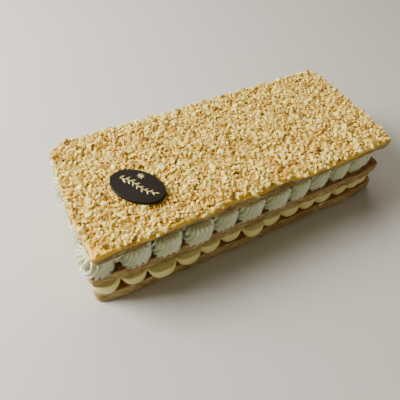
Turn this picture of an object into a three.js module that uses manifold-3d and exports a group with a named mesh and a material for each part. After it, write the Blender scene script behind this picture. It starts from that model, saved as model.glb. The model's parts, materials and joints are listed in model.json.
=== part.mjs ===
// A puff pastry cream cake, whole: three baked sheets of puff pastry with piped custard between
// the lower two and star-piped whipped cream between the upper two, chopped almonds on the glazed
// top sheet and a small oval chocolate plaque lying on them.
// Millimetres, +Z up. +X runs along the long side and +Y away from the long side that shows.
import * as THREE from 'three';
import { mergeVertices } from 'three/addons/utils/BufferGeometryUtils.js';
import Module from 'manifold-3d';

const wasm = await Module();
wasm.setup();

// Driving dimensions
const LENGTH = 300;            // the top sheet, along X
const DEPTH = 129;             // the top sheet, along Y
const TOUCH = 0.3;             // clearance between layers that lie on each other

const BOTTOM_HEIGHT = 12.5;    // the five layers, from below
const CUSTARD_HEIGHT = 13.5;
const MIDDLE_HEIGHT = 11;
const CREAM_HEIGHT = 19.5;
const TOP_HEIGHT = 11;

const LEAF_RELIEF = 0.8;       // how far the pastry's leaves stand in and out at the sides
const EDGE_WAVE = 1.1;         // how far a sheet's edge wanders from straight
const EDGE_STEP = 12.5;        // spacing of the points along a sheet's edge
const TOP_SEED = 3;            // chooses how the top sheet's edge wanders

const ROSETTE_TEETH = 10;      // ridges that the star nozzle leaves round one rosette
const ROSETTE_GROOVE = 0.14;   // depth of the grooves as a share of the radius
const ROSETTE_TWIST = 0.75;    // turn of the ridges from base to top, in radians
const LOBE_SIDES = 12;
const CROWDING = 0.11;         // how much closer piped shapes stand at the right end than at the left
const WANDER = 1.2;            // how far a piped shape lies from its even place
const SIZE_SPREAD = 0.05;      // how much piped shapes differ in size, either way
const STAND_SPREAD = 0.5;      // and in how far they stand out
const CORNER_DRAWN_IN = 3;     // how far the corner ones lie back from the far side

const ALMOND_PITCH = 6;        // spacing of the bumps that chopped almonds make
const ALMOND_COVER = 3.2;      // height of the almond cover over the pastry
const ALMOND_GRAINS = 44;      // larger bits, fused on one by one
const GRAIN_LENGTH = 6.2;
const GRAIN_BED = 2.2;         // height of a larger bit's middle over the pastry
const ALMOND_MARGIN = 3.4;     // how far in from the top sheet's edge the cover ends
const BARE_STRIP = 1.4;        // how much further in along the near edge, where the glaze shows
const ALMOND_RADII = [24, 14, 12, 15];   // its corners, bare at near left and near right

const PLAQUE_LENGTH = 50;
const PLAQUE_WIDTH = 33;
const PLAQUE_THICKNESS = 3;
const PLAQUE_CENTRE = new THREE.Vector2(56 - LENGTH / 2, 46 - DEPTH / 2);
const PLAQUE_TURN = THREE.MathUtils.degToRad(-54);

// Heights worked out from the layers
const BOTTOM_TOP = BOTTOM_HEIGHT;
const CUSTARD_BASE = BOTTOM_TOP + TOUCH;
const CUSTARD_TOP = CUSTARD_BASE + CUSTARD_HEIGHT;
const MIDDLE_BASE = CUSTARD_TOP + TOUCH;
const MIDDLE_TOP = MIDDLE_BASE + MIDDLE_HEIGHT;
const CREAM_BASE = MIDDLE_TOP + TOUCH;
const CREAM_TOP = CREAM_BASE + CREAM_HEIGHT;
const TOP_BASE = CREAM_TOP + TOUCH;
const TOP_TOP = TOP_BASE + TOP_HEIGHT;
const PLAQUE_REST = TOP_TOP + ALMOND_COVER * 0.9;   // the almonds under the plaque end here

// Footprints: edges left, right, near and far, how much further in the left side lies at its far
// end (slant), how far it bulges between (belly), how far the near side lies back at its ends
// (tuck), and the corner radii in the order near left, near right, far right, far left
const HALF_LENGTH = LENGTH / 2;
const HALF_DEPTH = DEPTH / 2;
const TOP_FOOTPRINT = {
  left: -HALF_LENGTH - 0.8, right: HALF_LENGTH + 1.5, near: -HALF_DEPTH - 1.7, far: HALF_DEPTH - 0.5,
  slant: 4, belly: 2.6, tuck: 0, radii: [5.5, 5, 15, 18],
};
const MIDDLE_FOOTPRINT = {
  left: -HALF_LENGTH - 5.5, right: HALF_LENGTH - 0.5, near: -HALF_DEPTH - 2.8, far: HALF_DEPTH - 1.5,
  slant: 7, belly: 0, tuck: 3, radii: [5, 6, 13, 14],
};
const BOTTOM_FOOTPRINT = {
  left: -HALF_LENGTH - 5, right: HALF_LENGTH - 0.5, near: -HALF_DEPTH - 3.6, far: HALF_DEPTH - 0.5,
  slant: 7, belly: 0, tuck: 4, radii: [6, 6, 12, 13],
};

// The near side of the top sheet baked unevenly: how far its upper and its lower edge stand out,
// at even steps from left to right
const UNEVEN_STEP = 25;
const UPPER_EDGE = [2, 0, 2.4, 0.4, 1.4, -2.4, -0.8, -3.6, 2.2, 1.5, 0.8, -1.5, -1.3];
const LOWER_EDGE = [0.2, -0.4, -2.8, -3.2, -2, 0.6, 1.2, -0.2, -2.6, -2.8, -2.2, -3, -3.4];

// The two fillings: height of underside and top, shapes piped along a long side with the corners
// and between the corners of a short side, how far they stand out past the sheet below and hang
// down over it, how far each one of the near side does from left to right, how much less they
// stand out at the left and at the right, and their width at some heights as shares of the radius
// and of the rise
const CREAM = {
  under: MIDDLE_FOOTPRINT, base: CREAM_BASE, top: CREAM_TOP, clearFrom: MIDDLE_BASE,
  alongLong: 12, alongShort: 3, radius: 13.4, standsOut: 3.8, droop: 1.2,
  nearOut: [2, 1.5, 3, 4.5, 1.5, 2, 2, 0.5, -1.2, -2.2, -3.5, -4.5], leftInset: 0,
  rightInset: 11, slant: 3, seed: 3, profile: [[0, 0.9], [0.35, 0.98], [0.7, 1], [1, 0.97]],
};
const CUSTARD = {
  under: BOTTOM_FOOTPRINT, base: CUSTARD_BASE, top: CUSTARD_TOP, clearFrom: 0,
  alongLong: 14, alongShort: 4, radius: 11.8, standsOut: 3.5, droop: 0.8,
  nearOut: [2, 1.5, 6, 4.5, 1.5, -0.5, 4.5, 0.5, -0.5, -1, -0.5, -1.5, -1.5, -2], leftInset: 4,
  rightInset: 9.5, slant: 0, seed: 7, profile: [[0, 0.72], [0.4, 1], [1, 0.97]],
};
const SLAB_INSET = 8.5;        // how far a filling's flat layer lies in from the sheet's edge
const SLAB_RADII = [5, 5, 5, 5];
const SLAB_FOLLOWS = 0.6;      // share of a filling's right inset that its flat layer also has

// Random numbers from a seed, the same on every run
function seededRandom(seed) {
  let state = seed >>> 0;
  return () => {
    state = (state + 0x6d2b79f5) >>> 0;
    let mixed = Math.imul(state ^ (state >>> 15), 1 | state);
    mixed = (mixed + Math.imul(mixed ^ (mixed >>> 7), 61 | mixed)) ^ mixed;
    return ((mixed ^ (mixed >>> 14)) >>> 0) / 4294967296;
  };
}

// A smooth wave between about -1 and 1 along a length, different for each seed
function wave(distance, seed) {
  const slow = Math.sin(distance / 23.7 + seed * 1.7);
  const middling = Math.sin(distance / 9.1 + seed * 4.3);
  const quick = Math.sin(distance / 4.7 + seed * 9.2);
  return 0.45 * slow + 0.35 * middling + 0.2 * quick;
}

// A number between -1 and 1 that differs from one piped shape to the next
function unevenness(index, seed) {
  return Math.sin(index * 2.4 + seed * 1.9 + 0.8 * Math.sin(index * 1.1 + seed));
}

// A value between listed ones that stand at even steps, passing smoothly from one to the next
function between(values, step) {
  const place = THREE.MathUtils.clamp(step, 0, values.length - 1.001);
  const before = Math.floor(place);
  const share = THREE.MathUtils.smoothstep(place - before, 0, 1);
  return THREE.MathUtils.lerp(values[before], values[before + 1], share);
}

// Where a place of the plain rectangle lies once the footprint has its slant, belly and tuck
function handCut(footprint, slant, x, y) {
  const deep = THREE.MathUtils.inverseLerp(footprint.near, footprint.far, y);
  const toLeft = THREE.MathUtils.inverseLerp(footprint.right, footprint.left, x);
  const atEnd = Math.max(0, Math.abs(2 * toLeft - 1) / 0.35 - 0.65 / 0.35);
  const sideways = slant * deep - footprint.belly * Math.sin(Math.PI * deep) ** 2;
  return { x: x + sideways * toLeft, y: y + footprint.tuck * (1 - deep) * atEnd ** 2 };
}

// Points round a footprint, each with the direction that faces out and the distance round to it
function footprintPoints(footprint, step) {
  const { left, right, near, far, radii } = footprint;
  const corners = [
    { x: left, y: near, inX: 1, inY: 1 },
    { x: right, y: near, inX: -1, inY: 1 },
    { x: right, y: far, inX: -1, inY: -1 },
    { x: left, y: far, inX: 1, inY: -1 },
  ];
  const points = [];
  corners.forEach((corner, index) => {
    const radius = radii[index];
    const centreX = corner.x + corner.inX * radius;
    const centreY = corner.y + corner.inY * radius;
    const startAngle = Math.PI * (1 + index / 2);
    const arcSteps = radius > 7 ? 3 : 2;
    for (let i = 0; i <= arcSteps; i += 1) {
      const angle = startAngle + (i / arcSteps) * (Math.PI / 2);
      const outX = Math.cos(angle);
      const outY = Math.sin(angle);
      points.push({ x: centreX + radius * outX, y: centreY + radius * outY, outX, outY });
    }
    const start = points[points.length - 1];
    const next = corners[(index + 1) % 4];
    const alongX = Math.sign(next.x - corner.x);
    const alongY = Math.sign(next.y - corner.y);
    const side = Math.abs(next.x - corner.x) + Math.abs(next.y - corner.y);
    const run = side - radius - radii[(index + 1) % 4];
    const sideSteps = Math.max(2, Math.round(run / step));
    for (let i = 1; i < sideSteps; i += 1) {
      const distance = (run * i) / sideSteps;
      points.push({
        x: start.x + alongX * distance, y: start.y + alongY * distance, outX: alongY, outY: -alongX,
      });
    }
  });
  let travelled = 0;
  let previous = points[0];
  points.forEach((point) => {
    travelled += Math.hypot(point.x - previous.x, point.y - previous.y);
    point.distance = travelled;
    previous = point;
  });
  return points.map((point) => (
    { ...point, ...handCut(footprint, footprint.slant, point.x, point.y) }
  ));
}

// A footprint pushed outwards by a number or by a function of the place on it
function ringAt(points, height, push) {
  return points.map((point) => {
    const out = typeof push === 'function' ? push(point) : push;
    return new THREE.Vector3(point.x + point.outX * out, point.y + point.outY * out, height);
  });
}

// A closed skin over rings that lie above each other and have the same number of points
function ringStack(rings) {
  const count = rings[0].length;
  const positions = [];
  const indices = [];
  rings.forEach((ring) => ring.forEach((point) => positions.push(point.x, point.y, point.z)));
  for (let level = 0; level < rings.length - 1; level += 1) {
    for (let i = 0; i < count; i += 1) {
      const next = (i + 1) % count;
      const low = level * count;
      const high = low + count;
      indices.push(low + i, low + next, high + next, low + i, high + next, high + i);
    }
  }
  const centreOf = (ring) => {
    const sum = ring.reduce((total, point) => total.add(point), new THREE.Vector3());
    return sum.divideScalar(count);
  };
  const floorIndex = positions.length / 3;
  const lidIndex = floorIndex + 1;
  positions.push(...centreOf(rings[0]).toArray(), ...centreOf(rings[rings.length - 1]).toArray());
  const lastRing = (rings.length - 1) * count;
  for (let i = 0; i < count; i += 1) {
    const next = (i + 1) % count;
    indices.push(floorIndex, next, i);
    indices.push(lidIndex, lastRing + i, lastRing + next);
  }
  const geometry = new THREE.BufferGeometry();
  geometry.setAttribute('position', new THREE.Float32BufferAttribute(positions, 3));
  geometry.setIndex(indices);
  return geometry;
}

// A closed three.js geometry as a solid that can be joined and cut
function toSolid(geometry) {
  const bare = geometry.clone();
  bare.deleteAttribute('normal');
  bare.deleteAttribute('uv');
  const merged = mergeVertices(bare, 1e-4);
  const mesh = new wasm.Mesh({
    numProp: 3,
    vertProperties: Float32Array.from(merged.attributes.position.array),
    triVerts: Uint32Array.from(merged.index.array),
  });
  return new wasm.Manifold(mesh);
}

// A solid as a named mesh with its own material
function toMesh(name, solid, color, roughness) {
  const { vertProperties, triVerts, numProp } = solid.getMesh();
  const positions = new Float32Array((vertProperties.length / numProp) * 3);
  for (let i = 0; i < positions.length / 3; i += 1) {
    positions.set(vertProperties.subarray(i * numProp, i * numProp + 3), i * 3);
  }
  const geometry = new THREE.BufferGeometry();
  geometry.setAttribute('position', new THREE.BufferAttribute(positions, 3));
  geometry.setIndex(new THREE.BufferAttribute(Uint32Array.from(triVerts), 1));
  geometry.computeVertexNormals();
  const material = new THREE.MeshStandardMaterial({
    color, roughness, metalness: 0, flatShading: true,
  });
  const mesh = new THREE.Mesh(geometry, material);
  mesh.name = name;
  return mesh;
}

// The largest of the separate bodies in a solid, without loose scraps
function largestBody(solid) {
  return solid.decompose().reduce((best, body) => (body.volume() > best.volume() ? body : best));
}

// A baked sheet: its leaves stand in and out in turn up the side, drawn in at the upper and the
// lower rim, and its edge goes in and out by a function of the place and of how high it lies
function pastrySheet(footprint, base, height, seed, edge) {
  const points = footprintPoints(footprint, EDGE_STEP);
  const levels = 4;
  const rings = [];
  for (let level = 0; level <= levels; level += 1) {
    const standsOut = level % 2 === 0 ? -1 : 1;
    const push = (point) => {
      const uneven = 0.55 + 0.45 * wave(point.distance, seed * 7 + level);
      return edge(point, level / levels) + LEAF_RELIEF * standsOut * uneven - LEAF_RELIEF;
    };
    rings.push(ringAt(points, base + (height * level) / levels, push));
  }
  return toSolid(ringStack(rings));
}

function lowerSheet(footprint, base, height, seed) {
  const edge = (point) => EDGE_WAVE * wave(point.distance, seed);
  return pastrySheet(footprint, base, height, seed, edge);
}

function topSheet() {
  const edge = (point, rise) => {
    const step = (point.x + HALF_LENGTH) / UNEVEN_STEP;
    const baked = THREE.MathUtils.lerp(between(LOWER_EDGE, step), between(UPPER_EDGE, step), rise);
    const wandering = EDGE_WAVE * wave(point.distance, TOP_SEED);
    return THREE.MathUtils.lerp(wandering, baked, Math.max(0, -point.outY));
  };
  return pastrySheet(TOP_FOOTPRINT, TOP_BASE, TOP_HEIGHT, TOP_SEED, edge);
}

// Places for the piped shapes of a filling all round the sheet below, corners included. Each has
// the width of its share of the side, and its outermost point stands out past that sheet.
function pipedPlaces(filling) {
  const { under, alongLong, alongShort, radius, standsOut, seed } = filling;
  const inset = radius - standsOut;
  const left = under.left + inset + filling.leftInset;
  const right = under.right - inset;
  const pitch = (right - left) / (alongLong - 1);
  const places = [];
  const unevenOut = () => standsOut * (1 + STAND_SPREAD * unevenness(places.length, seed + 5));
  const addPlace = (place, out) => {
    const size = place.share * (1 + SIZE_SPREAD * unevenness(places.length, seed + 1));
    const back = radius * size - out;
    const x = place.x + place.inX * (back - inset);
    const y = place.y + place.inY * back;
    places.push({ ...handCut(under, under.slant + filling.slant, x, y), size });
  };
  for (const [y, inY] of [[under.near, 1], [under.far, -1]]) {
    const along = [];
    for (let i = 0; i < alongLong; i += 1) {
      const even = i / (alongLong - 1);
      const atCorner = i === 0 || i === alongLong - 1;
      const shift = atCorner ? 0 : WANDER * unevenness(places.length + i, seed);
      along.push(THREE.MathUtils.lerp(left, right, even + CROWDING * even * (1 - even)) + shift);
    }
    along.forEach((even, i) => {
      const atRight = i === alongLong - 1;
      const atCorner = i === 0 || atRight;
      const before = along[Math.max(0, i - 1)];
      const after = along[Math.min(alongLong - 1, i + 1)];
      const share = (after - before) / pitch / (atCorner ? 1 : 2);
      const x = atRight ? even - filling.rightInset : even;
      const farOut = unevenOut() - (atCorner ? CORNER_DRAWN_IN : 0);
      addPlace({ x, y, inX: 0, inY, share }, inY > 0 ? filling.nearOut[i] : farOut);
    });
  }
  for (const [x, inX] of [[left, 1], [right - filling.rightInset, -1]]) {
    for (let i = 1; i <= alongShort; i += 1) {
      const shift = WANDER * unevenness(places.length, seed);
      const y = THREE.MathUtils.lerp(under.near + inset, under.far - inset, i / (alongShort + 1));
      addPlace({ x, y: y + shift, inX, inY: 0, share: 1 }, unevenOut());
    }
  }
  return places;
}

// One rosette from a star nozzle: its ridges turn as they rise
function rosette(filling, place, turn) {
  const count = ROSETTE_TEETH * 2;
  const base = filling.base - filling.droop;
  const rings = filling.profile.map(([rise, width]) => {
    const ring = [];
    for (let i = 0; i < count; i += 1) {
      const angle = turn + (i / count) * Math.PI * 2 + ROSETTE_TWIST * rise;
      const groove = i % 2 === 0 ? 0 : ROSETTE_GROOVE;
      const radius = filling.radius * place.size * width * (1 - groove);
      ring.push(new THREE.Vector3(
        place.x + radius * Math.cos(angle), place.y + radius * Math.sin(angle),
        THREE.MathUtils.lerp(base, filling.top, rise),
      ));
    }
    return ring;
  });
  return toSolid(ringStack(rings));
}

// One lobe of custard from a plain round nozzle, squashed between the sheets
function lobe(filling, place) {
  const base = filling.base - filling.droop;
  const rings = filling.profile.map(([rise, width]) => {
    const ring = [];
    for (let i = 0; i < LOBE_SIDES; i += 1) {
      const angle = ((i + 0.5) / LOBE_SIDES) * Math.PI * 2;
      const radius = filling.radius * place.size * width;
      ring.push(new THREE.Vector3(
        place.x + radius * Math.cos(angle), place.y + radius * Math.sin(angle),
        THREE.MathUtils.lerp(base, filling.top, rise),
      ));
    }
    return ring;
  });
  return toSolid(ringStack(rings));
}

// A smaller footprint that lies in from all sides of another
function smaller(footprint, inset, radii) {
  const { left, right, near, far } = footprint;
  const edges = { left: left + inset, right: right - inset, near: near + inset, far: far - inset };
  return { ...footprint, ...edges, radii };
}

// A filling: the flat layer between the sheets with the piped shapes joined on, less the space of
// the sheet below and its clearance
function pipedLayer(filling, shapes) {
  const flat = smaller(filling.under, SLAB_INSET, SLAB_RADII);
  flat.right -= SLAB_FOLLOWS * filling.rightInset;
  const inner = footprintPoints(flat, EDGE_STEP * 4);
  const slab = ringStack([ringAt(inner, filling.base, 0), ringAt(inner, filling.top, 0)]);
  const joined = wasm.Manifold.union([toSolid(slab), ...shapes]);
  const points = footprintPoints(filling.under, EDGE_STEP * 4);
  const clear = EDGE_WAVE + TOUCH;
  const space = ringStack([
    ringAt(points, filling.clearFrom, clear), ringAt(points, filling.base, clear),
  ]);
  return largestBody(joined.subtract(toSolid(space)));
}

function whippedCream() {
  const shapes = pipedPlaces(CREAM).map((place, index) => rosette(CREAM, place, index * 1.3));
  return pipedLayer(CREAM, shapes);
}

function custard() {
  return pipedLayer(CUSTARD, pipedPlaces(CUSTARD).map((place) => lobe(CUSTARD, place)));
}

// Where the plaque lies, measured in its own half lengths: below 1 is under it
function underPlaque(x, y) {
  const dx = x - PLAQUE_CENTRE.x;
  const dy = y - PLAQUE_CENTRE.y;
  const along = dx * Math.cos(PLAQUE_TURN) + dy * Math.sin(PLAQUE_TURN);
  const across = -dx * Math.sin(PLAQUE_TURN) + dy * Math.cos(PLAQUE_TURN);
  return Math.hypot(along / (PLAQUE_LENGTH / 2), across / (PLAQUE_WIDTH / 2));
}

// The almond cover: bumps of the size of the chopped bits, on a jittered lattice of triangles
function almondCover() {
  const random = seededRandom(37);
  const rowPitch = ALMOND_PITCH * Math.sqrt(0.75);
  const columns = Math.ceil((LENGTH + 3 * ALMOND_PITCH) / ALMOND_PITCH);
  const rows = Math.ceil((DEPTH + 3 * ALMOND_PITCH) / rowPitch);
  const positions = [];
  const indices = [];
  for (let row = 0; row <= rows; row += 1) {
    for (let column = 0; column <= columns; column += 1) {
      const shift = row % 2 === 0 ? 0 : 0.5;
      const inside = row > 0 && row < rows && column > 0 && column < columns;
      const jitter = inside ? 0.5 * ALMOND_PITCH : 0;
      const x = (column + shift - columns / 2) * ALMOND_PITCH + (random() - 0.5) * jitter;
      const y = (row - rows / 2) * rowPitch + (random() - 0.5) * jitter;
      const crest = (column + 2 * (row % 2)) % 3 === 0;
      const rise = crest ? 0.85 + 0.15 * random() : 0.2 + 0.4 * random();
      const height = underPlaque(x, y) < 1.15 ? Math.min(rise, 0.9) : rise;
      positions.push(x, y, TOP_TOP + ALMOND_COVER * height);
    }
  }
  const at = (row, column) => row * (columns + 1) + column;
  for (let row = 0; row < rows; row += 1) {
    for (let column = 0; column < columns; column += 1) {
      const a = at(row, column);
      const b = at(row, column + 1);
      const c = at(row + 1, column + 1);
      const d = at(row + 1, column);
      if (row % 2 === 0) indices.push(a, b, d, b, c, d);
      else indices.push(a, b, c, a, c, d);
    }
  }
  const rim = [];
  for (let column = 0; column < columns; column += 1) rim.push(at(0, column));
  for (let row = 0; row < rows; row += 1) rim.push(at(row, columns));
  for (let column = columns; column > 0; column -= 1) rim.push(at(rows, column));
  for (let row = rows; row > 0; row -= 1) rim.push(at(row, 0));
  const floorHeight = TOP_BASE + TOP_HEIGHT / 3;
  const underside = positions.length / 3;
  rim.forEach((index) => positions.push(positions[index * 3], positions[index * 3 + 1], floorHeight));
  const middle = positions.length / 3;
  positions.push(0, 0, floorHeight);
  rim.forEach((index, i) => {
    const next = (i + 1) % rim.length;
    indices.push(underside + i, underside + next, rim[next], underside + i, rim[next], index);
    indices.push(middle, underside + next, underside + i);
  });
  const geometry = new THREE.BufferGeometry();
  geometry.setAttribute('position', new THREE.Float32BufferAttribute(positions, 3));
  geometry.setIndex(indices);
  return toSolid(geometry);
}

// The edge of the almond cover: a bare glazed strip along the near edge and bare near corners
function almondEdge() {
  const covered = smaller(TOP_FOOTPRINT, ALMOND_MARGIN, ALMOND_RADII);
  covered.near += BARE_STRIP;
  const points = footprintPoints(covered, EDGE_STEP);
  const push = (point) => {
    const baked = between(UPPER_EDGE, (point.x + HALF_LENGTH) / UNEVEN_STEP);
    const ragged = BARE_STRIP * wave(point.distance, 5);
    return (baked + ragged) * Math.max(0, -point.outY);
  };
  const low = ringAt(points, TOP_BASE + TOP_HEIGHT / 4, push);
  const high = ringAt(points, TOP_TOP + 3 * ALMOND_COVER, push);
  return toSolid(ringStack([low, high]));
}

// One larger almond bit: an irregular chip of twenty faces lying on the cover
function almondGrain(x, y, height, random) {
  const icosahedron = new THREE.IcosahedronGeometry(1, 0);
  icosahedron.deleteAttribute('normal');
  icosahedron.deleteAttribute('uv');
  const chip = mergeVertices(icosahedron, 1e-4);
  const size = GRAIN_LENGTH * (0.75 + 0.4 * random());
  const tilt = 0.35;
  const turned = new THREE.Euler(
    tilt * (2 * random() - 1), tilt * (2 * random() - 1), 2 * Math.PI * random(),
  );
  const place = new THREE.Matrix4().compose(
    new THREE.Vector3(x, y, height),
    new THREE.Quaternion().setFromEuler(turned),
    new THREE.Vector3(size * 0.5, size * 0.33, size * 0.2),
  );
  const corners = chip.attributes.position;
  const corner = new THREE.Vector3();
  for (let i = 0; i < corners.count; i += 1) {
    corner.fromBufferAttribute(corners, i).multiplyScalar(0.85 + 0.35 * random());
    corners.setXYZ(i, corner.x, corner.y, corner.z);
  }
  return toSolid(chip.applyMatrix4(place));
}

// Larger bits in a lattice of places so that they are spread evenly, none under the plaque
function almondGrains() {
  const random = seededRandom(53);
  const across = Math.round(Math.sqrt(ALMOND_GRAINS * (LENGTH / DEPTH)));
  const deep = Math.round(ALMOND_GRAINS / across);
  const margin = 11;
  const grains = [];
  for (let i = 0; i < across; i += 1) {
    for (let j = 0; j < deep; j += 1) {
      const cellX = (i + 0.2 + 0.6 * random()) / across;
      const cellY = (j + 0.2 + 0.6 * random()) / deep;
      const x = THREE.MathUtils.lerp(margin - HALF_LENGTH, HALF_LENGTH - margin, cellX);
      const y = THREE.MathUtils.lerp(margin - HALF_DEPTH, HALF_DEPTH - margin, cellY);
      if (underPlaque(x, y) > 1.35) grains.push(almondGrain(x, y, TOP_TOP + GRAIN_BED, random));
    }
  }
  return grains;
}

function topPastry() {
  const cover = almondCover().intersect(almondEdge());
  return largestBody(wasm.Manifold.union([topSheet(), cover, ...almondGrains()]));
}

// The plaque: a thin oval plate of chocolate with softened edges
function chocolatePlaque() {
  const base = PLAQUE_REST + TOUCH;
  const count = 24;
  const soften = 0.7;
  const levels = [
    [0, soften], [soften, 0], [PLAQUE_THICKNESS - soften, 0], [PLAQUE_THICKNESS, soften],
  ];
  const rings = levels.map(([rise, inset]) => {
    const ring = [];
    for (let i = 0; i < count; i += 1) {
      const angle = (i / count) * Math.PI * 2;
      const along = (PLAQUE_LENGTH / 2 - inset) * Math.cos(angle);
      const across = (PLAQUE_WIDTH / 2 - inset) * Math.sin(angle);
      ring.push(new THREE.Vector3(
        PLAQUE_CENTRE.x + along * Math.cos(PLAQUE_TURN) - across * Math.sin(PLAQUE_TURN),
        PLAQUE_CENTRE.y + along * Math.sin(PLAQUE_TURN) + across * Math.cos(PLAQUE_TURN),
        base + rise,
      ));
    }
    return ring;
  });
  return toSolid(ringStack(rings));
}

// Put together, from below
const bottomSheet = lowerSheet(BOTTOM_FOOTPRINT, 0, BOTTOM_HEIGHT, 1);
const middleSheet = lowerSheet(MIDDLE_FOOTPRINT, MIDDLE_BASE, MIDDLE_HEIGHT, 2);
const cake = new THREE.Group();
cake.add(toMesh('bottom_pastry', bottomSheet, 0xb08a55, 0.8));
cake.add(toMesh('custard', custard(), 0xe6da94, 0.45));
cake.add(toMesh('middle_pastry', middleSheet, 0xa87c48, 0.8));
cake.add(toMesh('whipped_cream', whippedCream(), 0xf3f2e4, 0.5));
cake.add(toMesh('top_pastry', topPastry(), 0xe2c48a, 0.7));
cake.add(toMesh('chocolate_plaque', chocolatePlaque(), 0x2c2022, 0.35));

// The origin is the middle of the underside of the whole cake's box
const box = new THREE.Box3().setFromObject(cake);
const middle = box.getCenter(new THREE.Vector3());
cake.children.forEach((piece) => piece.position.set(-middle.x, -middle.y, -box.min.z));

export default cake;
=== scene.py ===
import json
import math
import random

import bmesh
import bpy
from mathutils import Matrix, Vector

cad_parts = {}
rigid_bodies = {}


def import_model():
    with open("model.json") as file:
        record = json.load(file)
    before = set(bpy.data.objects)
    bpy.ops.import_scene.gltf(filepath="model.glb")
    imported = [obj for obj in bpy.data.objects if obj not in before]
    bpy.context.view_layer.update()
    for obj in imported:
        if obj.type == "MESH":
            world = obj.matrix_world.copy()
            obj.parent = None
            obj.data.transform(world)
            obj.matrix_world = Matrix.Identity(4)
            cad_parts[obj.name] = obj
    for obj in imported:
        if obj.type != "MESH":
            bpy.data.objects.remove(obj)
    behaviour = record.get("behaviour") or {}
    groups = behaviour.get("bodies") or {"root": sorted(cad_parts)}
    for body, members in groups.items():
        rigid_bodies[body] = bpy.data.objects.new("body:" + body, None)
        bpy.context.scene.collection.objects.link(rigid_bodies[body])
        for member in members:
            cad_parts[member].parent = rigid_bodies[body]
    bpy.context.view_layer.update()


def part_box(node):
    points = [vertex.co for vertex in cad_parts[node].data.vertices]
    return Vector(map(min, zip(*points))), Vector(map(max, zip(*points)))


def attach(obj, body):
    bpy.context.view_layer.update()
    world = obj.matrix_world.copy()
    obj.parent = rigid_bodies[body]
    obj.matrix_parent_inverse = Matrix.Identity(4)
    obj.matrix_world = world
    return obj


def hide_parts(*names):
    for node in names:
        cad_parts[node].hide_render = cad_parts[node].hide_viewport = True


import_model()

MM = 0.001


def shown(name, data):
    """A new object in the scene."""
    made = bpy.data.objects.new(name, data)
    bpy.context.scene.collection.objects.link(made)
    return made


# ---- Camera and light ----
# The cake is seen from above its near left corner. Soft daylight comes from the far left, so the
# long near side is in open shade and the short left side is bright.
PLAQUE_FROM_CORNER = Vector((56, 46, 0)) * MM  # from the top sheet's near left corner
CAMERA_FROM_CORNER = Vector((-17.5, -174.0, 330.4)) * MM
CAMERA_HEADING = math.radians(-31.3)
CAMERA_TILT = math.radians(40.13)
CAMERA_ROLL = math.radians(4.17)
CAMERA_LENS = 37.8
SENSOR_WIDTH = 36

plaque_low, plaque_high = (Vector(end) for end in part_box("chocolate_plaque"))
plaque_centre = (plaque_low + plaque_high) / 2
corner = plaque_centre - PLAQUE_FROM_CORNER
corner.z = 0

camera_data = bpy.data.cameras.new("camera")
camera_data.lens = CAMERA_LENS
camera_data.sensor_width = SENSOR_WIDTH
camera_data.clip_start = 10 * MM
camera = shown("camera", camera_data)
turned = Matrix.Rotation(CAMERA_HEADING, 4, "Z") @ Matrix.Rotation(CAMERA_TILT, 4, "X")
turned = turned @ Matrix.Rotation(CAMERA_ROLL, 4, "Z")
camera.matrix_world = Matrix.Translation(corner + CAMERA_FROM_CORNER) @ turned
bpy.context.scene.camera = camera


def soft_light(name, place, size, power, color):
    """A square lamp that faces the cake. Place and size are in metres, power in watts."""
    lamp = bpy.data.lights.new(name, "AREA")
    lamp.size = size
    lamp.energy = power
    lamp.color = color
    holder = shown(name, lamp)
    holder.location = place
    holder.rotation_euler = (-Vector(place)).to_track_quat("-Z", "Y").to_euler()


soft_light("window", (-0.85, 0.45, 0.7), 0.6, 34, (1.0, 0.97, 0.90))
soft_light("ceiling", (0.2, 1.1, 1.0), 1.2, 10, (1.0, 0.95, 0.82))
soft_light("room", (0.8, -0.9, 0.4), 1.6, 1.7, (1.0, 0.84, 0.52))

world = bpy.data.worlds.new("daylight")
world.use_nodes = True
background = world.node_tree.nodes["Background"]
background.inputs["Color"].default_value = (1.0, 0.90, 0.70, 1)
background.inputs["Strength"].default_value = 0.14
bpy.context.scene.world = world


# ---- Floor ----
# A plain pale surface, not part of the cake.
FLOOR_HALF = 2.0
floor_mesh = bpy.data.meshes.new("floor")
floor_mesh.from_pydata(
    [(-FLOOR_HALF, -FLOOR_HALF, 0), (FLOOR_HALF, -FLOOR_HALF, 0),
     (FLOOR_HALF, FLOOR_HALF, 0), (-FLOOR_HALF, FLOOR_HALF, 0)], [], [(0, 1, 2, 3)])
floor = shown("floor", floor_mesh)
floor_paint = bpy.data.materials.new("pale_floor")
floor_paint.use_nodes = True
floor_shader = floor_paint.node_tree.nodes["Principled BSDF"]
floor_shader.inputs["Base Color"].default_value = (0.62, 0.60, 0.57, 1)
floor_shader.inputs["Roughness"].default_value = 0.7
floor_mesh.materials.append(floor_paint)


# ---- Node trees ----
SEAM = 1e-6                # points closer than this are made one


def of_two(operation):
    """A method that works out a number from this and another."""
    return lambda self, other: self.calc(operation, self, other)


class Flow:
    """A number running through a node tree, so that sums can be written as sums."""

    def __init__(self, tree, socket):
        self.tree = tree
        self.socket = socket

    def calc(self, operation, *terms):
        made = self.tree.nodes.new("ShaderNodeMath")
        made.operation = operation
        for slot, term in zip(made.inputs, terms):
            feed(self.tree, slot, term)
        return Flow(self.tree, made.outputs[0])

    __add__ = __radd__ = of_two("ADD")
    __sub__ = of_two("SUBTRACT")
    __mul__ = of_two("MULTIPLY")
    __truediv__ = of_two("DIVIDE")
    __pow__ = of_two("POWER")
    least = of_two("MINIMUM")
    most = of_two("MAXIMUM")

    def __rsub__(self, other):
        return self.calc("SUBTRACT", other, self)

    def clamped(self):
        return self.most(0.0).least(1.0)

    def taken(self, kind):
        """A function of this number alone, such as its sine."""
        return self.calc(kind, self)


def feed(tree, slot, term):
    if isinstance(term, Flow):
        tree.links.new(term.socket, slot)
    else:
        slot.default_value = term


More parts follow.
